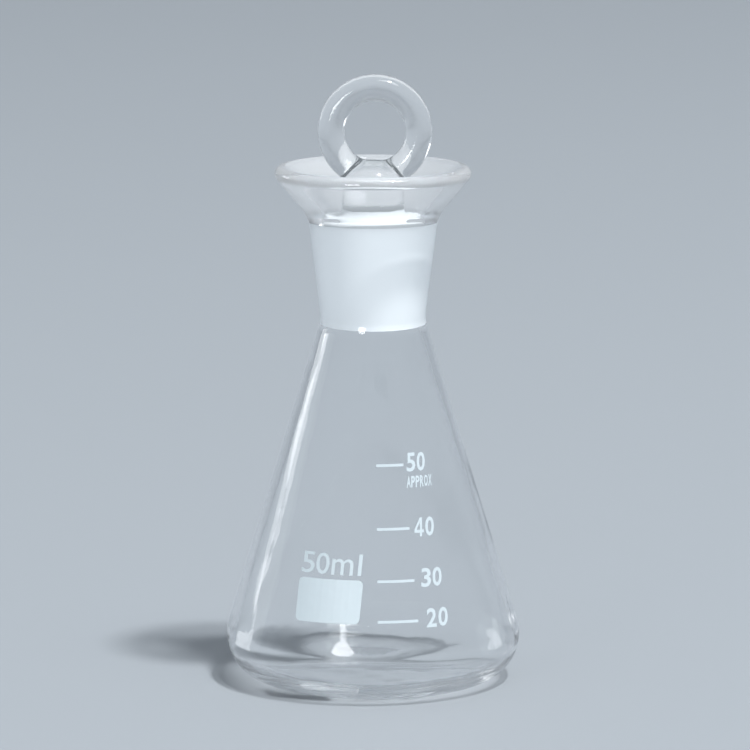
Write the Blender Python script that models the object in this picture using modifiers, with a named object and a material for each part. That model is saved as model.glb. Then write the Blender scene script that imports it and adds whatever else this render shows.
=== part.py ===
"""A 50 ml iodine flask: a conical glass flask with a ground socket and a flared sealing cup,
a ground glass stopper with a ring handle, and the white enamel marks fired on the cone.

Metres, +Z up. The flask stands on z = 0 with its axis on Z, and its marks face -Y.
"""

import math

import bmesh
import bpy
from mathutils import Matrix, Vector

MM = 0.001

# The conical body. A lean is the angle that a wall makes with the axis, positive where it widens upwards.
BODY_RADIUS = 25.5 * MM
HEEL_ROUNDING = 7.8 * MM
CONE_LEAN = math.radians(-16.95)
WALL = 1.3 * MM
FLOOR = 2.3 * MM
FLOOR_CROWN = 0.6 * MM
INNER_HEEL_ROUNDING = 4.6 * MM
INNER_FLOOR_RADIUS = 18.0 * MM
PUNT_RADIUS = 15.2 * MM
PUNT_DEPTH = 0.8 * MM

# The neck around the socket
NECK_FOOT_RADIUS = 9.14 * MM
NECK_FOOT_HEIGHT = 64.5 * MM
NECK_LEAN = math.radians(7.2)
NECK_ROUNDING = 7.0 * MM

# The ground joint, a 1 in 10 taper on the diameter
SOCKET_TOP_RADIUS = 8.85 * MM
SOCKET_TOP_HEIGHT = 80.3 * MM
GROUND_LEAN = math.atan(0.05)
GROUND_CLEARANCE = 0.06 * MM

# The sealing cup above the socket
CUP_RADIUS = 14.83 * MM
CUP_RADIUS_HEIGHT = 85.3 * MM
CUP_LEAN = math.radians(39.7)
CUP_WALL = 2.5 * MM
CUP_ROOT_ROUNDING = 6.0 * MM
CUP_MOUTH_ROUNDING = 1.6 * MM
RIM_HEIGHT = 89.6 * MM
RIM_OUTER_ROUNDING = 1.3 * MM
RIM_INNER_ROUNDING = 0.9 * MM

# The stopper
PLUG_END = 62.9 * MM
PLUG_END_ROUNDING = 0.5 * MM
SHOULDER_HEIGHT = 81.5 * MM
SHOULDER_ROUNDING = 1.0 * MM
STEM_RADIUS = 5.33 * MM
STEM_ROUNDING = 1.7 * MM
DOME_FOOT = 87.0 * MM
DOME_TOP = 90.6 * MM
RING_CENTRE = Vector((0.35 * MM, 0, 95.6 * MM))
RING_RADIUS = 7.55 * MM
RING_SECTION_RADIUS = 2.32 * MM

# The enamel. Heights are those of each mark's middle, and angles are turned to the right from -Y.
ENAMEL = 0.12 * MM
ENAMEL_GAP = 0.03 * MM
SCALE = {50: 40.2 * MM, 40: 29.75 * MM, 30: 21.2 * MM, 20: 14.6 * MM}
LINE_START = math.radians(1.9)
LINE_END = math.radians(18.8)
LINE_WIDTH = 0.46 * MM
NUMERAL_HEIGHT = 3.25 * MM
NUMERAL_RISE = {50: 0.35 * MM, 40: 0.1 * MM, 30: 0.35 * MM, 20: 0.35 * MM}
NUMERAL_START = {"top": math.radians(20.3), "bottom": math.radians(22.1)}
NUMERAL_WIDTH = {"top": 3.75 * MM, "bottom": 4.35 * MM}
NUMERAL_WEIGHT = 0.022
FIGURE_SHARE = 0.86
NOTE = "APPROX"
NOTE_HEIGHT = 1.95 * MM
NOTE_WIDTH = 4.9 * MM
NOTE_MIDDLE = 37.35 * MM
NOTE_START = math.radians(19.6)
NOTE_WEIGHT = 0.034
LETTER_SHARE = 0.91
CAPACITY_MIDDLE = 23.9 * MM
CAPACITY_HEIGHT = 3.65 * MM
CAPACITY_ANGLE = math.radians(-19.7)
CAPACITY_WEIGHT = 0.004
CAPACITY = (
    # character, left edge and width from the middle of the group, height, name
    ("5", -5.5 * MM, 2.45 * MM, 1.0, "digit_5"),
    ("0", -2.75 * MM, 2.45 * MM, 1.0, "digit_0"),
    ("m", 0.15 * MM, 3.75 * MM, 0.76, "letter_m"),
    ("l", 4.75 * MM, 0.6 * MM, 1.0, "letter_l"),
)
FOUR = (
    # the outer edge and the counter of a bold 4, in shares of its width and height
    (
        (0.58, 0.0), (0.82, 0.0), (0.82, 0.2), (1.0, 0.2), (1.0, 0.36), (0.82, 0.36), (0.82, 1.0),
        (0.58, 1.0), (0.0, 0.38), (0.0, 0.2), (0.58, 0.2),
    ),
    ((0.58, 0.36), (0.23, 0.36), (0.58, 0.75)),
)
PATCH_WIDTH = 11.6 * MM
PATCH_HEIGHT = 7.5 * MM
PATCH_MIDDLE = 17.8 * MM
PATCH_ANGLE = math.radians(-19.6)
PATCH_ROUNDING = 0.85 * MM

# Fineness of the facets
TURNS = 64
ARC_STEP = math.radians(13)
RING_SEGMENTS = 48
RING_SECTION_SEGMENTS = 16
GLYPH_CURVE_STEPS = 3
STRIP = 1.2 * MM


def start_collections():
    """Clears the scene, and returns a collection for the parts and one for the cutters."""
    for old in list(bpy.data.objects):
        bpy.data.objects.remove(old, do_unlink=True)
    made = []
    for name in ("iodine_flask", "cutters"):
        collection = bpy.data.collections.new(name)
        bpy.context.scene.collection.children.link(collection)
        made.append(collection)
    return made


def principled(name, colour, roughness, transmission=0.0):
    """A material with one Principled BSDF."""
    material = bpy.data.materials.new(name)
    material.use_nodes = True
    shader = material.node_tree.nodes["Principled BSDF"]
    shader.inputs["Base Color"].default_value = (*colour, 1)
    shader.inputs["Roughness"].default_value = roughness
    shader.inputs["Metallic"].default_value = 0.0
    shader.inputs["Transmission Weight"].default_value = transmission
    material.diffuse_color = (*colour, 1)
    return material


def meet(wall, other):
    """The corner where two straight walls, each (radius, height, lean), meet."""
    radius, height, lean = wall
    other_radius, other_height, other_lean = other
    slope = math.tan(lean)
    other_slope = math.tan(other_lean)
    rise = other_radius - radius - other_slope * (other_height - height)
    rise /= slope - other_slope
    return radius + rise * slope, height + rise


def at_height(wall, height):
    """The corner where a straight wall reaches a height."""
    radius, foot, lean = wall
    return radius + (height - foot) * math.tan(lean), height


def inside(wall, thickness):
    """The inner face of a straight wall of this thickness."""
    radius, height, lean = wall
    return radius - thickness / math.cos(lean), height, lean


def rounded(corners):
    """The outline through corners of (radius, height, rounding), with each rounding drawn as an arc."""
    points = []
    for index, (radius, height, rounding) in enumerate(corners):
        corner = Vector((radius, height))
        if not rounding:
            points.append(corner)
            continue
        before = (Vector(corners[index - 1][:2]) - corner).normalized()
        after = (Vector(corners[index + 1][:2]) - corner).normalized()
        half = before.angle(after) / 2
        centre = corner + (before + after).normalized() * rounding / math.sin(half)
        spoke = corner + before * rounding / math.tan(half) - centre
        turn = math.copysign(math.pi - 2 * half, before.angle_signed(after))
        steps = max(2, math.ceil(abs(turn) / ARC_STEP))
        for step in range(steps + 1):
            points.append(centre + Matrix.Rotation(turn * step / steps, 2) @ spoke)
    return points


def dish(radius, edge_height, centre_height, steps=4):
    """A shallow parabola from the axis out to its edge, without the edge point."""
    rise = edge_height - centre_height
    return [
        Vector((radius * step / steps, centre_height + rise * (step / steps) ** 2))
        for step in range(steps)
    ]


def turned(name, outline, collection, material, height=0.0):
    """A body of revolution about Z, whose origin is on the axis at this height."""
    mesh = bpy.data.meshes.new(name)
    points = [(point.x, 0, point.y - height) for point in outline]
    edges = [(index, index + 1) for index in range(len(points) - 1)]
    mesh.from_pydata(points, edges, [])
    body = bpy.data.objects.new(name, mesh)
    body.location.z = height
    collection.objects.link(body)
    screw = body.modifiers.new("Turn", "SCREW")
    screw.axis = "Z"
    screw.steps = TURNS
    screw.render_steps = TURNS
    screw.use_merge_vertices = True
    screw.merge_threshold = 0.00001
    screw.use_smooth_shade = True
    mesh.materials.append(material)
    return body


def outer_cone():
    """The straight outer wall of the cone, which the heel's arc meets at the full radius."""
    lean = abs(CONE_LEAN)
    foot = BODY_RADIUS + HEEL_ROUNDING * (1 / math.cos(lean) + math.tan(lean) - 1)
    return foot, 0.0, CONE_LEAN


def socket_wall():
    """The straight ground wall of the socket."""
    return SOCKET_TOP_RADIUS, SOCKET_TOP_HEIGHT, GROUND_LEAN


def flask_outline():
    """From the inner floor's middle up the inside, over the rim and down the outside."""
    cone = outer_cone()
    cone_inside = inside(cone, WALL)
    neck = (NECK_FOOT_RADIUS, NECK_FOOT_HEIGHT, NECK_LEAN)
    cup = (CUP_RADIUS, CUP_RADIUS_HEIGHT, CUP_LEAN)
    cup_inside = inside(cup, CUP_WALL)
    walls = [
        (INNER_FLOOR_RADIUS, FLOOR, 0),
        (*at_height(cone_inside, FLOOR), INNER_HEEL_ROUNDING),
        (*meet(cone_inside, socket_wall()), 0),
        (*meet(socket_wall(), cup_inside), CUP_MOUTH_ROUNDING),
        (*at_height(cup_inside, RIM_HEIGHT), RIM_INNER_ROUNDING),
        (*at_height(cup, RIM_HEIGHT), RIM_OUTER_ROUNDING),
        (*meet(cup, neck), CUP_ROOT_ROUNDING),
        (*meet(neck, cone), NECK_ROUNDING),
        (*at_height(cone, 0.0), HEEL_ROUNDING),
        (PUNT_RADIUS, 0.0, 0),
    ]
    floor = dish(INNER_FLOOR_RADIUS, FLOOR, FLOOR + FLOOR_CROWN)
    punt = dish(PUNT_RADIUS, 0.0, PUNT_DEPTH)
    return floor + rounded(walls) + punt[::-1]


def stopper_outline():
    """From the dome's top down the stem, over the shoulder and down the ground plug."""
    radius, height, lean = socket_wall()
    ground = (radius - GROUND_CLEARANCE, height, lean)
    dome_steps = 6
    dome = []
    for step in range(dome_steps):
        angle = math.pi / 2 * (1 - step / dome_steps)
        rise = (DOME_TOP - DOME_FOOT) * math.sin(angle)
        across = STEM_RADIUS * math.cos(angle) if step else 0.0
        dome.append(Vector((across, DOME_FOOT + rise)))
    walls = [
        (STEM_RADIUS, DOME_FOOT, 0),
        (STEM_RADIUS, SHOULDER_HEIGHT, STEM_ROUNDING),
        (*at_height(ground, SHOULDER_HEIGHT), SHOULDER_ROUNDING),
        (*at_height(ground, PLUG_END), PLUG_END_ROUNDING),
        (0.0, PLUG_END, 0),
    ]
    return dome + rounded(walls)


def make_ring(collection):
    """The ring handle, standing across the view and let into the stopper's dome."""
    bpy.ops.mesh.primitive_torus_add(
        location=RING_CENTRE,
        rotation=(math.pi / 2, 0, 0),
        major_radius=RING_RADIUS,
        minor_radius=RING_SECTION_RADIUS,
        major_segments=RING_SEGMENTS,
        minor_segments=RING_SECTION_SEGMENTS,
    )
    ring = bpy.context.object
    ring.name = "ring_handle_form"
    for home in list(ring.users_collection):
        home.objects.unlink(ring)
    collection.objects.link(ring)
    ring.hide_render = True
    ring.display_type = "WIRE"
    ring.data.shade_smooth()
    return ring


def make_stopper(parts, cutters):
    """Plug, stem and ring in one piece, with its origin on the axis at the plug's end."""
    glass = principled("stopper_glass", (0.86, 0.91, 0.94), 0.03, 1.0)
    stopper = turned("stopper", stopper_outline(), parts, glass, PLUG_END)
    union = stopper.modifiers.new("Ring", "BOOLEAN")
    union.operation = "UNION"
    union.solver = "EXACT"
    union.object = make_ring(cutters)
    return stopper


def rectangle(width, height, rounding):
    """A flat rectangle with round corners, middle on the origin."""
    shape = bmesh.new()
    bmesh.ops.create_grid(shape, x_segments=1, y_segments=1, size=0.5)
    bmesh.ops.scale(shape, vec=(width, height, 1), verts=shape.verts)
    bmesh.ops.bevel(
        shape,
        geom=list(shape.verts),
        affect="VERTICES",
        offset=rounding,
        segments=3,
        profile=0.5,
        clamp_overlap=True,
    )
    return shape


def figure_four(width, height):
    """A flat bold 4 that fills this width and height, middle on the origin."""
    shape = bmesh.new()
    edges = []
    for loop in FOUR:
        corners = [shape.verts.new(((x - 0.5) * width, (y - 0.5) * height, 0)) for x, y in loop]
        for index, corner in enumerate(corners):
            edges.append(shape.edges.new((corners[index - 1], corner)))
    bmesh.ops.triangle_fill(shape, use_beauty=True, edges=edges, normal=(0, 0, 1))
    return shape


def glyph(character, width, height, weight):
    """A flat sans-serif character that fills this width and height, middle on the origin."""
    if character == "4":
        return figure_four(width, height)
    text = bpy.data.curves.new("glyph", "FONT")
    text.body = character
    text.size = 1.0
    text.offset = weight
    text.resolution_u = GLYPH_CURVE_STEPS
    text.fill_mode = "FRONT"
    holder = bpy.data.objects.new("glyph", text)
    bpy.context.scene.collection.objects.link(holder)
    graph = bpy.context.evaluated_depsgraph_get()
    mesh = bpy.data.meshes.new_from_object(holder.evaluated_get(graph))
    shape = bmesh.new()
    shape.from_mesh(mesh)
    bmesh.ops.remove_doubles(shape, verts=shape.verts, dist=0.0001)
    bpy.data.objects.remove(holder)
    bpy.data.curves.remove(text)
    bpy.data.meshes.remove(mesh)
    across = [vertex.co.x for vertex in shape.verts]
    up = [vertex.co.y for vertex in shape.verts]
    middle = Vector(((min(across) + max(across)) / 2, (min(up) + max(up)) / 2, 0))
    bmesh.ops.translate(shape, vec=-middle, verts=shape.verts)
    size = Vector((max(across) - min(across), max(up) - min(up), 1))
    scale = (width / size.x, height / size.y, 1)
    bmesh.ops.scale(shape, vec=scale, verts=shape.verts)
    return shape


def fire(name, shape, angle, middle, across, collection, material):
    """Lays a flat shape on the cone and gives it its thickness.

    The shape's middle is this far across from the meridian at the angle, and at the middle height.
    """
    reach = max(abs(vertex.co.x) for vertex in shape.verts)
    cuts = math.floor(reach / STRIP)
    for cut in range(-cuts, cuts + 1):
        bmesh.ops.bisect_plane(
            shape,
            geom=[*shape.verts, *shape.edges, *shape.faces],
            dist=MM / 1000,
            plane_co=(cut * STRIP, 0, 0),
            plane_no=(1, 0, 0),
        )
    bmesh.ops.triangulate(shape, faces=shape.faces)
    foot, _, lean = outer_cone()
    for vertex in shape.verts:
        height = middle + vertex.co.y * math.cos(lean)
        radius = foot + height * math.tan(lean)
        turn = angle + (across + vertex.co.x) / radius
        out = radius + ENAMEL_GAP * math.cos(lean)
        height -= ENAMEL_GAP * math.sin(lean)
        vertex.co = (out * math.sin(turn), -out * math.cos(turn), height)
    mesh = bpy.data.meshes.new(name)
    shape.to_mesh(mesh)
    shape.free()
    mesh.materials.append(material)
    mesh.shade_flat()
    mark = bpy.data.objects.new(name, mesh)
    collection.objects.link(mark)
    solid = mark.modifiers.new("Enamel", "SOLIDIFY")
    solid.thickness = ENAMEL
    solid.offset = 1.0
    return mark


def make_scale(parts, enamel):
    """The four graduation lines, each with its two-figure number."""
    foot, _, lean = outer_cone()
    heights = SCALE.values()
    for volume, height in SCALE.items():
        radius = foot + height * math.tan(lean)
        length = (LINE_END - LINE_START) * radius
        line = rectangle(length, LINE_WIDTH, LINE_WIDTH / 4)
        middle_angle = (LINE_START + LINE_END) / 2
        fire(f"line_{volume}", line, middle_angle, height, 0.0, parts, enamel)
        share = (height - min(heights)) / (max(heights) - min(heights))
        start = share * NUMERAL_START["top"] + (1 - share) * NUMERAL_START["bottom"]
        width = share * NUMERAL_WIDTH["top"] + (1 - share) * NUMERAL_WIDTH["bottom"]
        cell = width / 2
        for place, figure in enumerate(str(volume)):
            shape = glyph(figure, FIGURE_SHARE * cell, NUMERAL_HEIGHT, NUMERAL_WEIGHT)
            across = start * radius + (place + 0.5) * cell
            name = f"numeral_{volume}_" + ("tens", "units")[place]
            middle = height + NUMERAL_RISE[volume]
            fire(name, shape, 0.0, middle, across, parts, enamel)


def make_note(parts, enamel):
    """The small accuracy note under the top graduation's number."""
    foot, _, lean = outer_cone()
    start = NOTE_START * (foot + NOTE_MIDDLE * math.tan(lean))
    cell = NOTE_WIDTH / len(NOTE)
    for place, letter in enumerate(NOTE):
        shape = glyph(letter, LETTER_SHARE * cell, NOTE_HEIGHT, NOTE_WEIGHT)
        across = start + (place + 0.5) * cell
        name = f"note_letter_{place + 1}"
        fire(name, shape, 0.0, NOTE_MIDDLE, across, parts, enamel)


def make_capacity(parts, enamel):
    """The capacity, in larger plain figures over the writing patch."""
    for character, left, width, share, name in CAPACITY:
        height = share * CAPACITY_HEIGHT
        shape = glyph(character, width, height, CAPACITY_WEIGHT)
        drop = (CAPACITY_HEIGHT - height) / 2 * math.cos(CONE_LEAN)
        middle = CAPACITY_MIDDLE - drop
        across = left + width / 2
        fire(f"capacity_{name}", shape, CAPACITY_ANGLE, middle, across, parts, enamel)


def main():
    """Builds the flask, its stopper and its marks."""
    parts, cutters = start_collections()
    glass = principled("flask_glass", (0.86, 0.91, 0.94), 0.02, 1.0)
    turned("flask_body", flask_outline(), parts, glass)
    make_stopper(parts, cutters)
    enamel = principled("white_enamel", (0.84, 0.89, 0.92), 0.45)
    patch = rectangle(PATCH_WIDTH, PATCH_HEIGHT, PATCH_ROUNDING)
    fire("writing_patch", patch, PATCH_ANGLE, PATCH_MIDDLE, 0.0, parts, enamel)
    make_capacity(parts, enamel)
    make_scale(parts, enamel)
    make_note(parts, enamel)


main()
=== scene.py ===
"""Glass, enamel and studio for the iodine flask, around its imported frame. Metres, +Z up."""

import math

import bpy
import numpy as np
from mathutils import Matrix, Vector, noise


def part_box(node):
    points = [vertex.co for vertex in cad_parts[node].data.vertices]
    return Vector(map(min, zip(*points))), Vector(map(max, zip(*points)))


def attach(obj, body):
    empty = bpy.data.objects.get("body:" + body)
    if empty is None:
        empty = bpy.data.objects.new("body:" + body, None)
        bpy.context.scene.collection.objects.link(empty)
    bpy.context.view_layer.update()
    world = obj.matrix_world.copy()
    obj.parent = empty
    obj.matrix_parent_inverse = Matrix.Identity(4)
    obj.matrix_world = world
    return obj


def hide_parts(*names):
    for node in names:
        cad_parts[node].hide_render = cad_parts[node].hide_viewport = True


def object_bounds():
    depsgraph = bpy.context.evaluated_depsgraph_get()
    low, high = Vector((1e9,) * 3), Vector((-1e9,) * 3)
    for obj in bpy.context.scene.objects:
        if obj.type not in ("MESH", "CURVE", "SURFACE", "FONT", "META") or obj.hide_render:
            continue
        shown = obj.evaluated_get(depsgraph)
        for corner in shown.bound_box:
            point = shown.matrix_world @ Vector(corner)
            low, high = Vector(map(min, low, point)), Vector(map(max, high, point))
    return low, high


bl_info = {
    "name": "Iodine Flask",
    "version": (1, 0, 0),
    "blender": (4, 5, 0),
    "location": "View3D > Sidebar > Flask",
    "description": "Turns the glass of an iodine flask, grinds its joint and sets it in a small studio",
    "category": "Object",
}

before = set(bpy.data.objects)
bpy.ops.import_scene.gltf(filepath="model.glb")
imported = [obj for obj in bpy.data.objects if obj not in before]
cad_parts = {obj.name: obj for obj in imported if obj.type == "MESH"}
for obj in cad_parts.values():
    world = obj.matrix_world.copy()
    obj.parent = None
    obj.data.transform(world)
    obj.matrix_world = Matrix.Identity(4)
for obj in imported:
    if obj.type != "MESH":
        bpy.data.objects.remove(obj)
CAD_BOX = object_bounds()
MM = 0.001
FLASK_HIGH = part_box("flask_body")[1]
STOPPER_LOW, STOPPER_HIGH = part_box("stopper")
MARKS = [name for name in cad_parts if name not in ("flask_body", "stopper")]

# The lights. Each place is a turn from the camera's side to +X, a height angle, a distance and a width.
WINDOW = (math.radians(-24), math.radians(12.8), 2.0, 0.6)
CARD = (math.radians(-125), math.radians(9), 2.2, 0.66)
GLOW = (math.radians(-113), math.radians(14), 2.2, 1.1)
LEFT_FILL = (math.radians(-50), math.radians(9), 2.0, 1.4)
RIGHT_FILL = (math.radians(50), math.radians(9), 2.0, 1.4)
KEY_DISTANCE = 4.0
KEY_WIDTH = 0.34
HALO_WIDTH = 1.6
LAMP_COLOUR = (0.97, 0.99, 1.0)

# How often light may turn inside the thick heel, and how many marks and edges it may pass.
GLASS_BOUNCES = 128
CLEAR_BOUNCES = 24

# The grain of clear glass: slow waves, fine pits and smudges, and how deep the pits of each piece are.
WAVE_GRAIN = 7 * MM
WAVE_DEPTH = 0.12 * MM
PIT_GRAIN = 0.5 * MM
SMUDGE_GRAIN = 6 * MM
SMUDGE_ROUGHNESS = 0.02
BLOWN_PITS = 0.004 * MM
CUP_PITS = 0.01 * MM
STOPPER_PITS = 0.06 * MM

# How sharply the light that glass lets through falls off towards its edges.
THIN_FALLOFF = 4
THICK_FALLOFF = 2

# How far the blown inner wall wanders: over long and short waves, less under the neck.
LONG_WAVE = 11 * MM
SHORT_WAVE = 4.5 * MM
SHORT_WAVE_SHARE = 0.4
THICK_GLASS = 16 * MM
CALM_UNDER_NECK = 4 * MM
CALMING = 6 * MM


def length(name, value, text):
    """A size that a user can change, shown in the scene's own unit of length."""
    return bpy.props.FloatProperty(
        name=name, description=text, default=value, min=0.0, precision=5, unit="LENGTH"
    )


def slant(name, degrees, text):
    """An angle that a user can change."""
    return bpy.props.FloatProperty(
        name=name, description=text, default=math.radians(degrees), subtype="ANGLE"
    )


def tint(name, value, text):
    """A colour that a user can change."""
    return bpy.props.FloatVectorProperty(
        name=name, description=text, default=value, subtype="COLOR", size=3, min=0.0, max=1.0
    )


def share(name, value, text, most=1.0):
    """A plain number from nothing up to its most."""
    return bpy.props.FloatProperty(
        name=name, description=text, default=value, min=0.0, max=most
    )


def power(name, value, text):
    """The power of a light, which a user can change."""
    return bpy.props.FloatProperty(
        name=name, description=text, default=value, min=0.0, unit="POWER"
    )


class FlaskSizes(bpy.types.PropertyGroup):
    """The blown and pressed glass of the flask."""

    radius: length("Body radius", FLASK_HIGH.x, "Half the width at the heel")
    height: length("Rim height", FLASK_HIGH.z, "Height of the cup's rim")
    heel: length("Heel rounding", 7.8 * MM, "Rounding between the cone and the base")
    cone_lean: slant("Cone lean", -16.95, "Angle of the cone's wall with the axis")
    wall: length("Wall", 1.3 * MM, "Thickness of the cone's wall")
    floor: length("Floor", 2.3 * MM, "Thickness of the floor at its edge")
    floor_crown: length("Floor crown", 0.6 * MM, "Rise of the inner floor at its middle")
    inner_heel: length("Inner heel", 4.6 * MM, "Rounding inside the heel")
    inner_floor: length("Inner floor", 18.0 * MM, "Radius of the flat inner floor")
    punt: length("Punt", 15.2 * MM, "Radius of the hollow under the base")
    punt_depth: length("Punt depth", 0.8 * MM, "Depth of the hollow under the base")
    neck: length("Neck radius", 9.14 * MM, "Radius at the neck's foot")
    neck_foot: length("Neck foot", 64.5 * MM, "Height of the neck's foot")
    neck_lean: slant("Neck lean", 7.2, "Angle of the neck's wall with the axis")
    neck_rounding: length("Neck rounding", 7.0 * MM, "Rounding under the neck")
    cup: length("Cup radius", 14.83 * MM, "Outer radius half way up the cup")
    cup_middle: length("Cup middle", 85.3 * MM, "Height half way up the cup")
    cup_lean: slant("Cup lean", 39.7, "Angle of the cup's wall with the axis")
    cup_wall: length("Cup wall", 2.5 * MM, "Thickness of the cup's wall")
    cup_root: length("Cup root", 6.0 * MM, "Rounding under the cup")
    cup_mouth: length("Socket mouth", 1.6 * MM, "Rounding of the socket's mouth")
    rim_outer: length("Rim, outer", 1.3 * MM, "Outer rounding of the rim")
    rim_inner: length("Rim, inner", 0.9 * MM, "Inner rounding of the rim")
    waver: length("Waver", 0.09 * MM, "How far the blown inner wall wanders")
    floor_waver: length("Floor waver", 0.22 * MM, "How far the inner floor and heel wander")


class JointSizes(bpy.types.PropertyGroup):
    """The ground joint, which the socket and the plug share."""

    radius: length("Socket radius", 8.85 * MM, "Radius at the top of the ground wall")
    top: length("Ground top", 80.3 * MM, "Height of the top of the ground wall")
    lean: slant("Taper", math.degrees(math.atan(0.05)), "Half angle of the taper")
    clearance: length("Clearance", 0.06 * MM, "Gap between the ground walls")


class StopperSizes(bpy.types.PropertyGroup):
    """The pressed glass of the stopper."""

    end: length("Plug end", STOPPER_LOW.z, "Height of the plug's lower end")
    end_rounding: length("End rounding", 0.5 * MM, "Rounding of the plug's end")
    shoulder: length("Shoulder", 81.5 * MM, "Height of the shoulder")
    shoulder_rounding: length("Shoulder rounding", 1.0 * MM, "Rounding of the shoulder")
    stem: length("Stem radius", 5.33 * MM, "Radius of the stem")
    stem_rounding: length("Stem rounding", 1.7 * MM, "Rounding at the stem's foot")
    dome_foot: length("Dome foot", 87.0 * MM, "Height at which the dome starts")
    dome_top: length("Dome top", 90.6 * MM, "Height of the dome's top")
    ring: length("Ring radius", 7.55 * MM, "Radius of the ring's middle line")
    section: length("Ring section", 2.32 * MM, "Radius of the ring's round section")
    blend: length("Blend", 0.6 * MM, "How far ring and dome run into each other")
    grain: length("Grain", 0.24 * MM, "Size of the cells that the fused form is built from")


class Finishes(bpy.types.PropertyGroup):
    """Colours and surfaces."""

    glass: tint("Glass", (0.988, 0.993, 0.996), "Colour of the clear glass")
    ground: tint("Ground glass", (0.89, 0.93, 0.955), "Colour of the ground walls")
    enamel: tint("Enamel", (0.49, 0.552, 0.582), "Colour of the fired enamel")
    index: share("Index", 1.474, "Index of refraction of borosilicate glass", 3.0)
    cup_haze: share("Cup haze", 0.18, "Share of light that the pressed cup scatters")
    stopper_haze: share("Stopper haze", 0.03, "Share of light that the pressed stopper scatters")
    ground_clear: share("Ground clearness", 0.1, "Share of light that goes through")
    blown_light: share("Blown to light", 1.0, "Share of light let straight through blown glass")
    pressed_light: share("Pressed to light", 0.74, "Share let straight through pressed glass")
    ground_light: share("Ground to light", 0.08, "Share let straight through ground glass")


class StageSizes(bpy.types.PropertyGroup):
    """The floor, the lights and the camera."""

    floor: tint("Floor", (0.303, 0.325, 0.350), "Colour of the floor and the wall")
    floor_radius: length("Floor radius", 2.4, "Distance of the wall from the flask")
    wall_height: length("Wall height", 1.6, "Height of the wall")
    cove: length("Cove", 0.7, "Rounding between the floor and the wall")
    world: tint("Sky", (0.8, 0.88, 0.96), "Colour of the light from above")
    world_strength: share("Sky strength", 0.4, "Strength of the light from above", 10)
    key_power: power("Key power", 183.0, "Power of the key light")
    halo_power: power("Halo power", 27.0, "Power of the broad panel round the key light")
    key_turn: slant("Key turn", 46.0, "Turn of the key light from the camera's side to +X")
    key_rise: slant("Key rise", 66.5, "Height angle of the key light")
    window_power: power("Window power", 10.0, "Power of the soft light in front on the left")
    left_power: power("Left fill", 5.0, "Power of the fill light on the left")
    right_power: power("Right fill", 12.0, "Power of the fill light on the right")
    card_power: power("Card power", 2.1, "Power of the narrow card behind on the left")
    glow_power: power("Glow power", 1.0, "Power of the broad card on the left")
    camera_distance: length("Camera distance", 0.973, "Distance over the floor")
    camera_height: length("Camera height", 0.217, "Height over the floor")
    camera_aim: length("Camera aim", 0.0532, "Height at which the camera looks")
    camera_aside: length("Camera aside", 0.00034, "How far the camera stands to the right")
    lens: bpy.props.FloatProperty(
        name="Lens", description="Focal length", default=274.13, min=1.0, max=1000.0
    )


class Signal:
    """The output of a shader node. Arithmetic on it adds Math nodes."""

    def __init__(self, graph, socket):
        self.graph = graph
        self.socket = socket

    def math(self, operation, first, second):
        return self.graph.node("ShaderNodeMath", {"operation": operation}, {0: first, 1: second})

    def __add__(self, other):
        return self.math("ADD", self, other)

    def __radd__(self, other):
        return self.math("ADD", other, self)

    def __rsub__(self, other):
        return self.math("SUBTRACT", other, self)

    def __mul__(self, other):
        return self.math("MULTIPLY", self, other)

    def __rmul__(self, other):
        return self.math("MULTIPLY", other, self)

    def __pow__(self, other):
        return self.math("POWER", self, other)

    def __or__(self, other):
        return self.math("MAXIMUM", self, other)


class Graph:
    """The node tree of one material."""

    def __init__(self, name):
        self.material = bpy.data.materials.new(name)
        self.material.use_nodes = True
        self.tree = self.material.node_tree
        self.tree.nodes.clear()

    def node(self, kind, settings=None, inputs=None, output=0):
        """A new node of this kind, with its settings and then its inputs, as a signal."""
        made = self.tree.nodes.new(kind)
        for key, value in (settings or {}).items():
            setattr(made, key, value)
        for key, value in (inputs or {}).items():
            if isinstance(value, Signal):
                self.tree.links.new(value.socket, made.inputs[key])
            else:
                made.inputs[key].default_value = value
        return Signal(self, made.outputs[output]) if made.outputs else None

    def grain(self, size, detail=2.0, roughness=0.5, stretch=(1, 1, 1)):
        """Soft noise whose lumps are about this size, from 0 to 1."""
        where = self.node("ShaderNodeTexCoord", output="Object")
        where = self.node("ShaderNodeMapping", inputs={"Vector": where, "Scale": stretch})
        inputs = {"Vector": where, "Scale": 1 / size, "Detail": detail, "Roughness": roughness}
        return self.node("ShaderNodeTexNoise", {"noise_dimensions": "3D"}, inputs)

    def dent(self, height, distance, strength=1.0, under=None):
        """A bump of this height pattern, over another bump if one is given."""
        inputs = {"Height": height, "Distance": distance, "Strength": strength}
        if under:
            inputs["Normal"] = under
        return self.node("ShaderNodeBump", inputs=inputs)

    def finish(self, shader):
        """Ends the tree in this shader."""
        self.node("ShaderNodeOutputMaterial", inputs={"Surface": shader})
        return self.material


def let_light_through(graph, glass, amount):
    """Glass that lets this share of lamplight and of scattered light through in a straight line."""
    clear = graph.node("ShaderNodeBsdfTransparent", inputs={"Color": (1, 1, 1, 1)})
    lamp = graph.node("ShaderNodeLightPath", output="Is Shadow Ray")
    scattered = graph.node("ShaderNodeLightPath", output="Is Diffuse Ray")
    straight = (lamp | scattered) * amount
    return graph.node("ShaderNodeMixShader", inputs={0: straight, 1: glass, 2: clear})


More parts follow.
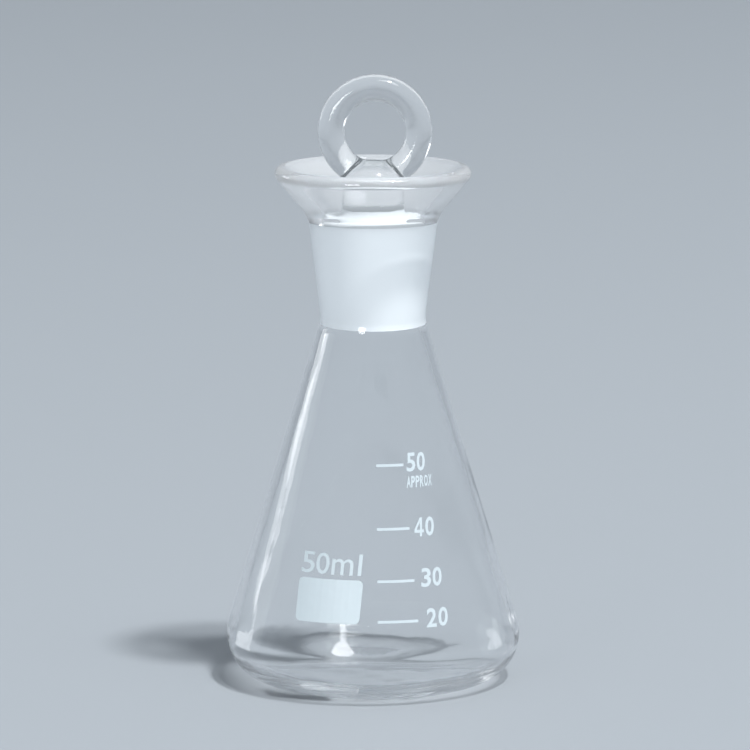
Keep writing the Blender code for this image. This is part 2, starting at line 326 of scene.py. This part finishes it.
def clear_glass(name, looks, pits, haze, light, falloff):
    """Borosilicate glass with slow waves in its surface, and the pits and haze of a pressing."""
    graph = Graph(name)
    waves = graph.dent(graph.grain(WAVE_GRAIN, 2.0, stretch=(1, 1, 0.5)), WAVE_DEPTH, 0.6)
    surface = graph.dent(graph.grain(PIT_GRAIN, 3.0), pits, 0.6, waves)
    smudge = graph.grain(SMUDGE_GRAIN, 4.0, 0.65)
    shader = graph.node(
        "ShaderNodeBsdfPrincipled",
        inputs={
            "Base Color": (*looks.glass, 1),
            "Roughness": smudge * SMUDGE_ROUGHNESS,
            "IOR": looks.index,
            "Transmission Weight": 1.0 - haze,
            "Normal": surface,
        },
    )
    edge = graph.node("ShaderNodeLayerWeight", inputs={"Blend": 0.5}, output="Facing")
    return graph.finish(let_light_through(graph, shader, light * (1 - edge**falloff)))


def ground_glass(name, looks):
    """Ground glass: a fine even frost that scatters light, with faint rings from the grinding."""
    graph = Graph(name)
    rings = graph.grain(0.5 * MM, 2.0, stretch=(0.12, 0.12, 1))
    frost = graph.grain(0.08 * MM, 4.0, 0.7)
    surface = graph.dent(frost + 0.4 * rings, 0.02 * MM, 0.9)
    shader = graph.node(
        "ShaderNodeBsdfPrincipled",
        inputs={
            "Base Color": (*looks.ground, 1),
            "Roughness": 0.55 + 0.2 * rings,
            "IOR": looks.index,
            "Specular IOR Level": 0.0,
            "Transmission Weight": looks.ground_clear,
            "Normal": surface,
        },
    )
    return graph.finish(let_light_through(graph, shader, looks.ground_light))


def fired_enamel(name, looks):
    """White enamel, printed through a screen and fired: a satin skin with a faint weave and thin spots."""
    graph = Graph(name)
    thin = graph.grain(1.6 * MM, 3.0, 0.6)
    weave = graph.grain(0.12 * MM, 2.0)
    shade = graph.node(
        "ShaderNodeMix",
        {"data_type": "RGBA"},
        {0: thin, 6: tuple(0.93 * c for c in looks.enamel) + (1,), 7: (*looks.enamel, 1)},
        output=2,
    )
    shader = graph.node(
        "ShaderNodeBsdfPrincipled",
        inputs={
            "Base Color": shade,
            "Roughness": 0.34 + 0.2 * weave,
            "Normal": graph.dent(weave + thin, 0.02 * MM, 0.5),
        },
    )
    return graph.finish(shader)


def paper_floor(name, settings):
    """Pale matt board, with a barely visible mottle."""
    graph = Graph(name)
    mottle = graph.grain(0.25, 3.0)
    colour = graph.node(
        "ShaderNodeMix",
        {"data_type": "RGBA"},
        {0: mottle, 6: tuple(0.985 * c for c in settings.floor) + (1,), 7: (*settings.floor, 1)},
        output=2,
    )
    fibre = graph.grain(0.6 * MM, 3.0)
    inputs = {
        "Base Color": colour,
        "Roughness": 0.7,
        "Specular IOR Level": 0.25,
        "Normal": graph.dent(fibre, 0.02 * MM, 0.3),
    }
    return graph.finish(graph.node("ShaderNodeBsdfPrincipled", inputs=inputs))


def meet(wall, other):
    """The corner where two straight walls, each (radius, height, lean), meet."""
    slope = math.tan(wall[2])
    other_slope = math.tan(other[2])
    rise = (other[0] - wall[0] - other_slope * (other[1] - wall[1])) / (slope - other_slope)
    return wall[0] + rise * slope, wall[1] + rise


def at_height(wall, height):
    """The corner where a straight wall reaches a height."""
    return wall[0] + (height - wall[1]) * math.tan(wall[2]), height


def inside(wall, thickness):
    """The inner face of a straight wall of this thickness."""
    return wall[0] - thickness / math.cos(wall[2]), wall[1], wall[2]


def deselect():
    """Leaves object mode with nothing selected."""
    if bpy.context.mode != "OBJECT":
        bpy.ops.object.mode_set(mode="OBJECT")
    bpy.ops.object.select_all(action="DESELECT")


def pen(name, start):
    """A new piece in edit mode, whose mesh is one selected point at (radius, height)."""
    deselect()
    bpy.ops.mesh.primitive_plane_add(size=MM)
    piece = bpy.context.object
    piece.name = name
    piece.data.name = name
    bpy.ops.object.mode_set(mode="EDIT")
    bpy.ops.mesh.merge(type="CENTER")
    bpy.ops.transform.translate(value=(start[0], 0, start[1]))
    return piece


def straight(start, end, stride):
    """Extrudes the selected point from start to end, in steps no longer than a stride."""
    way = Vector((end[0] - start[0], 0, end[1] - start[1]))
    steps = max(1, math.ceil(way.length / stride))
    if way.length < 1e-7:
        return
    for _ in range(steps):
        bpy.ops.mesh.extrude_region_move(TRANSFORM_OT_translate={"value": way / steps})


def outline(name, corners, stride, fineness):
    """A piece that is an outline through corners of (radius, height, rounding), each rounding an arc."""
    piece = pen(name, corners[0])
    here = Vector(corners[0][:2])
    for index in range(1, len(corners)):
        corner = Vector(corners[index][:2])
        rounding = corners[index][2]
        if not rounding:
            straight(here, corner, stride)
            here = corner
            continue
        before = (Vector(corners[index - 1][:2]) - corner).normalized()
        after = (Vector(corners[index + 1][:2]) - corner).normalized()
        half = before.angle(after) / 2
        reach = rounding / math.tan(half)
        straight(here, corner + before * reach, stride)
        centre = corner + (before + after).normalized() * rounding / math.sin(half)
        turn = math.copysign(math.pi - 2 * half, before.angle_signed(after))
        bpy.ops.mesh.spin(
            steps=max(3, math.ceil(abs(turn) / fineness)),
            angle=turn,
            center=(centre.x, 0, centre.y),
            axis=(0, 1, 0),
        )
        here = corner + after * reach
    return piece


def revolve(piece, turns):
    """Spins the outline round the axis into one closed body of smooth glass."""
    bpy.ops.mesh.select_all(action="SELECT")
    bpy.ops.mesh.spin(steps=turns, angle=math.tau, center=(0, 0, 0), axis=(0, 0, 1))
    bpy.ops.mesh.select_all(action="SELECT")
    bpy.ops.mesh.remove_doubles(threshold=2e-6)
    bpy.ops.mesh.normals_make_consistent(inside=False)
    bpy.ops.object.mode_set(mode="OBJECT")
    bpy.ops.object.shade_smooth()
    return piece


def bowl(radius, edge, middle, steps=14):
    """Corners of a shallow parabola from the axis out to its edge, without the edge."""
    return [
        (radius * step / steps, middle + (edge - middle) * (step / steps) ** 2, 0)
        for step in range(steps)
    ]


def socket_wall():
    """The straight ground wall of the socket, as (radius, height, lean)."""
    joint = bpy.context.scene.flask_joint
    return joint.radius, joint.top, joint.lean


def cone_wall(size):
    """The cone's straight outer wall, which the heel's arc meets at the full radius."""
    lean = abs(size.cone_lean)
    foot = size.radius + size.heel * (1 / math.cos(lean) + math.tan(lean) - 1)
    return foot, 0.0, size.cone_lean


def flask_corners(size):
    """From the inner floor's middle up the inside, over the rim and down the outside."""
    cone = cone_wall(size)
    cone_inside = inside(cone, size.wall)
    neck = (size.neck, size.neck_foot, size.neck_lean)
    cup = (size.cup, size.cup_middle, size.cup_lean)
    cup_inside = inside(cup, size.cup_wall)
    ground = socket_wall()
    corners = bowl(size.inner_floor, size.floor, size.floor + size.floor_crown)
    corners += [
        (size.inner_floor, size.floor, 0),
        (*at_height(cone_inside, size.floor), size.inner_heel),
        (*meet(cone_inside, ground), 0),
        (ground[0], ground[1], 0),
        (*meet(ground, cup_inside), size.cup_mouth),
        (*at_height(cup_inside, size.height), size.rim_inner),
        (*at_height(cup, size.height), size.rim_outer),
        (*meet(cup, neck), size.cup_root),
        (*meet(neck, cone), size.neck_rounding),
        (*at_height(cone, 0.0), size.heel),
        (size.punt, 0.0, 0),
    ]
    return corners + bowl(size.punt, 0.0, size.punt_depth)[::-1]


def read_points(mesh):
    """The mesh's points as rows of x, y, z."""
    points = np.empty(3 * len(mesh.vertices))
    mesh.vertices.foreach_get("co", points)
    return points.reshape(-1, 3)


def write_points(mesh, points):
    """Moves the mesh's points."""
    mesh.vertices.foreach_set("co", points.ravel())
    mesh.update()


def grind(piece, ground, low, high, most, level=0.3):
    """Gives the frost to the faces between two heights, within a radius and no more level than this."""
    piece.data.materials.append(ground)
    last = len(piece.data.materials) - 1
    for face in piece.data.polygons:
        out = math.hypot(face.center.x, face.center.y)
        if low < face.center.z < high and out < most and abs(face.normal.z) < level:
            face.material_index = last


class FLASK_OT_body(bpy.types.Operator):
    """Turn the flask: cone, heel, base, neck with its ground socket, and sealing cup"""

    bl_idname = "flask.body"
    bl_label = "Flask body"

    def execute(self, context):
        size = context.scene.flask_sizes
        joint = context.scene.flask_joint
        looks = context.scene.flask_finishes
        piece = outline("flask_glass", flask_corners(size), 1.4 * MM, math.radians(7))
        revolve(piece, 256)
        self.waver(piece, size)
        light = looks.blown_light
        blown = clear_glass("blown_glass", looks, BLOWN_PITS, 0.0, light, THIN_FALLOFF)
        haze, light = looks.cup_haze, looks.pressed_light
        pressed = clear_glass("pressed_cup", looks, CUP_PITS, haze, light, THICK_FALLOFF)
        piece.data.materials.append(blown)
        piece.data.materials.append(pressed)
        for face in piece.data.polygons:
            face.material_index = int(face.center.z > joint.top)
        foot = meet(inside(cone_wall(size), size.wall), socket_wall())
        frost = ground_glass("ground_socket", looks)
        grind(piece, frost, foot[1], joint.top, joint.radius + 0.1 * MM)
        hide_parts("flask_body")
        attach(piece, "flask")
        return {"FINISHED"}

    @staticmethod
    def waver(piece, size):
        """Lets the inner wall wander, as blown glass does, and more so in the thick floor and heel."""
        mesh = piece.data
        points = read_points(mesh)
        normals = np.empty(3 * len(mesh.vertices))
        mesh.vertex_normals.foreach_get("vector", normals)
        normals = normals.reshape(-1, 3)
        top = size.neck_foot - CALM_UNDER_NECK
        inward = (points[:, :2] * normals[:, :2]).sum(axis=1) < 0
        inner = inward | (normals[:, 2] > 0.5)
        inner &= (points[:, 2] > 0.9 * size.floor) & (points[:, 2] < top)
        for index in np.flatnonzero(inner):
            place = Vector(points[index])
            base = max(0.0, 1 - place.z / THICK_GLASS)
            ease = min(1.0, (top - place.z) / CALMING)
            place.z *= 0.5
            swing = noise.noise(place / LONG_WAVE) + SHORT_WAVE_SHARE * noise.noise(place / SHORT_WAVE)
            reach = size.waver * (1 - base) + size.floor_waver * base
            points[index] += ease * reach * swing * normals[index]
        write_points(mesh, points)


def stopper_corners(size, joint):
    """From the dome's top down the stem, over the shoulder and down the ground plug."""
    radius, height, lean = socket_wall()
    ground = (radius - joint.clearance, height, lean)
    dome = []
    steps = 16
    for step in range(steps):
        angle = math.pi / 2 * (1 - step / steps)
        rise = (size.dome_top - size.dome_foot) * math.sin(angle)
        across = size.stem * math.cos(angle) if step else 0.0
        dome.append((across, size.dome_foot + rise, 0))
    return dome + [
        (size.stem, size.dome_foot, 0),
        (size.stem, size.shoulder, size.stem_rounding),
        (*at_height(ground, size.shoulder), size.shoulder_rounding),
        (*at_height(ground, size.end), size.end_rounding),
        (0.0, size.end, 0),
    ]


def select_only(piece):
    """Makes this the one selected and active object."""
    deselect()
    piece.select_set(True)
    bpy.context.view_layer.objects.active = piece


def settle(piece, kind, **settings):
    """Adds a modifier with these settings and applies it."""
    select_only(piece)
    modifier = piece.modifiers.new(kind.title(), kind)
    for key, value in settings.items():
        setattr(modifier, key, value)
    bpy.ops.object.modifier_apply(modifier=modifier.name)


def distance_to_outline(points, line):
    """How far points (radius, height) lie outside a closed half section. Inside, less than 0."""
    nearest = np.full(len(points), np.inf)
    crossings = np.zeros(len(points), dtype=int)
    for start, end in zip(line[:-1], line[1:]):
        way = end - start
        along = np.clip((points - start) @ way / (way @ way), 0, 1)
        gap = np.linalg.norm(points - start - along[:, None] * way, axis=1)
        nearest = np.minimum(nearest, gap)
        spans = (start[1] > points[:, 1]) != (end[1] > points[:, 1])
        if way[1]:
            crossing = start[0] + (points[:, 1] - start[1]) / way[1] * way[0]
            crossings += spans & (points[:, 0] < crossing)
    return np.where(crossings % 2 == 1, -nearest, nearest)


def smooth_union(first, second, blend):
    """Two distances joined into one, with a fillet where they are nearly equal."""
    mix = np.clip(0.5 + 0.5 * (second - first) / blend, 0, 1)
    return second * (1 - mix) + first * mix - blend * mix * (1 - mix)


class FLASK_OT_stopper(bpy.types.Operator):
    """Press the stopper: plug, shoulder, stem, dome and ring in one piece"""

    bl_idname = "flask.stopper"
    bl_label = "Stopper"

    def execute(self, context):
        size = context.scene.flask_stopper
        joint = context.scene.flask_joint
        looks = context.scene.flask_finishes
        piece = outline("stopper_glass", stopper_corners(size, joint), 1.2 * MM, math.radians(8))
        bpy.ops.object.mode_set(mode="OBJECT")
        line = read_points(piece.data)[:, [0, 2]]
        bpy.ops.object.mode_set(mode="EDIT")
        revolve(piece, 128)
        centre = self.ring_centre(size)
        ring = self.ring(size, centre)
        settle(piece, "BOOLEAN", operation="UNION", solver="EXACT", object=ring)
        bpy.data.objects.remove(ring)
        settle(piece, "REMESH", mode="VOXEL", voxel_size=size.grain)
        self.fuse(piece, size, centre, line)
        self.cut_ground_edges(piece, size)
        haze, light = looks.stopper_haze, looks.pressed_light
        pressed = clear_glass("pressed_stopper", looks, STOPPER_PITS, haze, light, THICK_FALLOFF)
        piece.data.materials.clear()
        piece.data.materials.append(pressed)
        frost = ground_glass("ground_plug", looks)
        low, high = size.end + size.end_rounding, size.shoulder + size.stem_rounding
        grind(piece, frost, low, high, joint.radius, 2.0)
        select_only(piece)
        bpy.ops.object.shade_smooth()
        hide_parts("stopper")
        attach(piece, "stopper")
        return {"FINISHED"}

    @staticmethod
    def ring_centre(size):
        """The ring's middle, below the stopper's top by its own radius."""
        across = (STOPPER_LOW.x + STOPPER_HIGH.x) / 2
        return Vector((across, 0, STOPPER_HIGH.z - size.ring - size.section))

    @staticmethod
    def ring(size, centre):
        """The ring handle's form, which stands across the view."""
        deselect()
        bpy.ops.mesh.primitive_torus_add(
            location=centre,
            rotation=(math.pi / 2, 0, 0),
            major_radius=size.ring,
            minor_radius=size.section,
            major_segments=128,
            minor_segments=48,
        )
        return bpy.context.object

    @staticmethod
    def fuse(piece, size, centre, line):
        """Moves each point onto the ring or the turned form, and onto a fillet between them."""
        mesh = piece.data
        for _ in range(6):
            points = read_points(mesh)
            out = np.hypot(points[:, 0], points[:, 1])
            turned = distance_to_outline(np.column_stack((out, points[:, 2])), line)
            from_ring = np.hypot(points[:, 0] - centre.x, points[:, 2] - centre.z) - size.ring
            ring = np.hypot(from_ring, points[:, 1]) - size.section
            gap = smooth_union(turned, ring, size.blend)
            normals = np.empty(3 * len(mesh.vertices))
            mesh.vertex_normals.foreach_get("vector", normals)
            write_points(mesh, points - 0.8 * gap[:, None] * normals.reshape(-1, 3))

    @staticmethod
    def cut_ground_edges(piece, size):
        """Draws a clean edge round the plug where its ground wall starts and where the stem starts."""
        select_only(piece)
        bpy.ops.object.mode_set(mode="EDIT")
        for height in (size.end + size.end_rounding, size.shoulder + size.stem_rounding):
            bpy.ops.mesh.select_all(action="SELECT")
            bpy.ops.mesh.bisect(plane_co=(0, 0, height), plane_no=(0, 0, 1))
        bpy.ops.object.mode_set(mode="OBJECT")


class FLASK_OT_marks(bpy.types.Operator):
    """Fire the enamel: the scale, its figures, the capacity, the note and the writing patch"""

    bl_idname = "flask.marks"
    bl_label = "Enamel marks"

    def execute(self, context):
        enamel = fired_enamel("white_enamel_fired", context.scene.flask_finishes)
        for name in MARKS:
            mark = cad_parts[name]
            mark.data.materials.clear()
            mark.data.materials.append(enamel)
        return {"FINISHED"}


class FLASK_OT_stage(bpy.types.Operator):
    """Set the stage: floor and wall in one sweep, a key light, a soft sky and the camera"""

    bl_idname = "flask.stage"
    bl_label = "Stage"

    def execute(self, context):
        settings = context.scene.flask_stage
        self.sweep(settings)
        self.lights(settings)
        self.sky(context.scene, settings)
        self.camera(context.scene, settings)
        return {"FINISHED"}

    @staticmethod
    def sweep(settings):
        """One surface for the floor and the wall all round, open at the top."""
        level = CAD_BOX[0][2] - 0.02 * MM
        corners = [
            (0.0, level, 0),
            (settings.floor_radius, level, settings.cove),
            (settings.floor_radius, settings.wall_height, 0),
        ]
        sweep = outline("studio_sweep", corners, 0.4, math.radians(6))
        revolve(sweep, 96)
        select_only(sweep)
        bpy.ops.object.mode_set(mode="EDIT")
        bpy.ops.mesh.normals_make_consistent(inside=True)
        bpy.ops.object.mode_set(mode="OBJECT")
        sweep.data.materials.append(paper_floor("pale_board", settings))

    def lights(self, settings):
        """A key in a broad panel, a window in front, a fill on each side, and two pale cards."""
        key = (settings.key_turn, settings.key_rise, KEY_DISTANCE)
        self.lamp("key", settings.key_power, *key, KEY_WIDTH)
        self.lamp("halo", settings.halo_power, *key, HALO_WIDTH)
        self.lamp("card", settings.card_power, *CARD)
        self.lamp("glow", settings.glow_power, *GLOW)
        window = self.lamp("window", settings.window_power, *WINDOW)
        window.visible_transmission = False
        left = self.lamp("left_fill", settings.left_power, *LEFT_FILL)
        right = self.lamp("right_fill", settings.right_power, *RIGHT_FILL)
        for fill in (left, right):
            fill.visible_glossy = False
            fill.visible_transmission = False

    @staticmethod
    def lamp(name, strength, turn, rise, distance, size):
        """A round soft light, turned from the camera's side towards +X, that faces the flask."""
        flat = math.cos(rise)
        away = Vector((flat * math.sin(turn), -flat * math.cos(turn), math.sin(rise)))
        data = bpy.data.lights.new(name, "AREA")
        data.shape = "DISK"
        data.size = size
        data.energy = strength
        data.color = LAMP_COLOUR
        lamp = bpy.data.objects.new(name, data)
        lamp.location = away * distance
        lamp.rotation_euler = away.to_track_quat("Z", "Y").to_euler()
        lamp.visible_camera = False
        bpy.context.scene.collection.objects.link(lamp)
        return lamp

    @staticmethod
    def sky(scene, settings):
        """An even light from above."""
        world = bpy.data.worlds.new("soft_sky")
        world.use_nodes = True
        background = world.node_tree.nodes["Background"]
        background.inputs["Color"].default_value = (*settings.world, 1)
        background.inputs["Strength"].default_value = settings.world_strength
        scene.world = world
        scene.view_settings.view_transform = "Standard"
        scene.cycles.caustics_refractive = False
        scene.cycles.caustics_reflective = False
        scene.cycles.max_bounces = GLASS_BOUNCES
        scene.cycles.glossy_bounces = GLASS_BOUNCES
        scene.cycles.transmission_bounces = GLASS_BOUNCES
        scene.cycles.transparent_max_bounces = CLEAR_BOUNCES

    @staticmethod
    def camera(scene, settings):
        """A long lens, a little above the rim."""
        data = bpy.data.cameras.new("camera")
        data.lens = settings.lens
        data.sensor_width = 36.0
        camera = bpy.data.objects.new("camera", data)
        camera.location = (
            settings.camera_aside,
            -settings.camera_distance,
            settings.camera_height,
        )
        aim = Vector((settings.camera_aside, 0, settings.camera_aim))
        back = camera.location - aim
        camera.rotation_euler = back.to_track_quat("Z", "Y").to_euler()
        data.clip_start = 0.01
        data.clip_end = 20.0
        scene.collection.objects.link(camera)
        scene.camera = camera


class FLASK_PT_panel(bpy.types.Panel):
    """Lists the flask's pieces, in the order in which they are made"""

    bl_idname = "FLASK_PT_panel"
    bl_label = "Iodine Flask"
    bl_space_type = "VIEW_3D"
    bl_region_type = "UI"
    bl_category = "Flask"

    def draw(self, context):
        for operator in (FLASK_OT_body, FLASK_OT_stopper, FLASK_OT_marks, FLASK_OT_stage):
            self.layout.operator(operator.bl_idname)


GROUPS = {
    "flask_sizes": FlaskSizes,
    "flask_joint": JointSizes,
    "flask_stopper": StopperSizes,
    "flask_finishes": Finishes,
    "flask_stage": StageSizes,
}
OTHERS = (FLASK_OT_body, FLASK_OT_stopper, FLASK_OT_marks, FLASK_OT_stage, FLASK_PT_panel)


def register():
    """Makes the operators, the panel and the settings known to Blender."""
    for name, group in GROUPS.items():
        bpy.utils.register_class(group)
        setattr(bpy.types.Scene, name, bpy.props.PointerProperty(type=group))
    for other in OTHERS:
        bpy.utils.register_class(other)


def unregister():
    """Takes them out again."""
    for other in reversed(OTHERS):
        bpy.utils.unregister_class(other)
    for name, group in reversed(GROUPS.items()):
        delattr(bpy.types.Scene, name)
        bpy.utils.unregister_class(group)


def main():
    """Builds the pieces and the stage."""
    register()
    bpy.ops.flask.body()
    bpy.ops.flask.stopper()
    bpy.ops.flask.marks()
    bpy.ops.flask.stage()


if __name__ == "__main__":
    main()
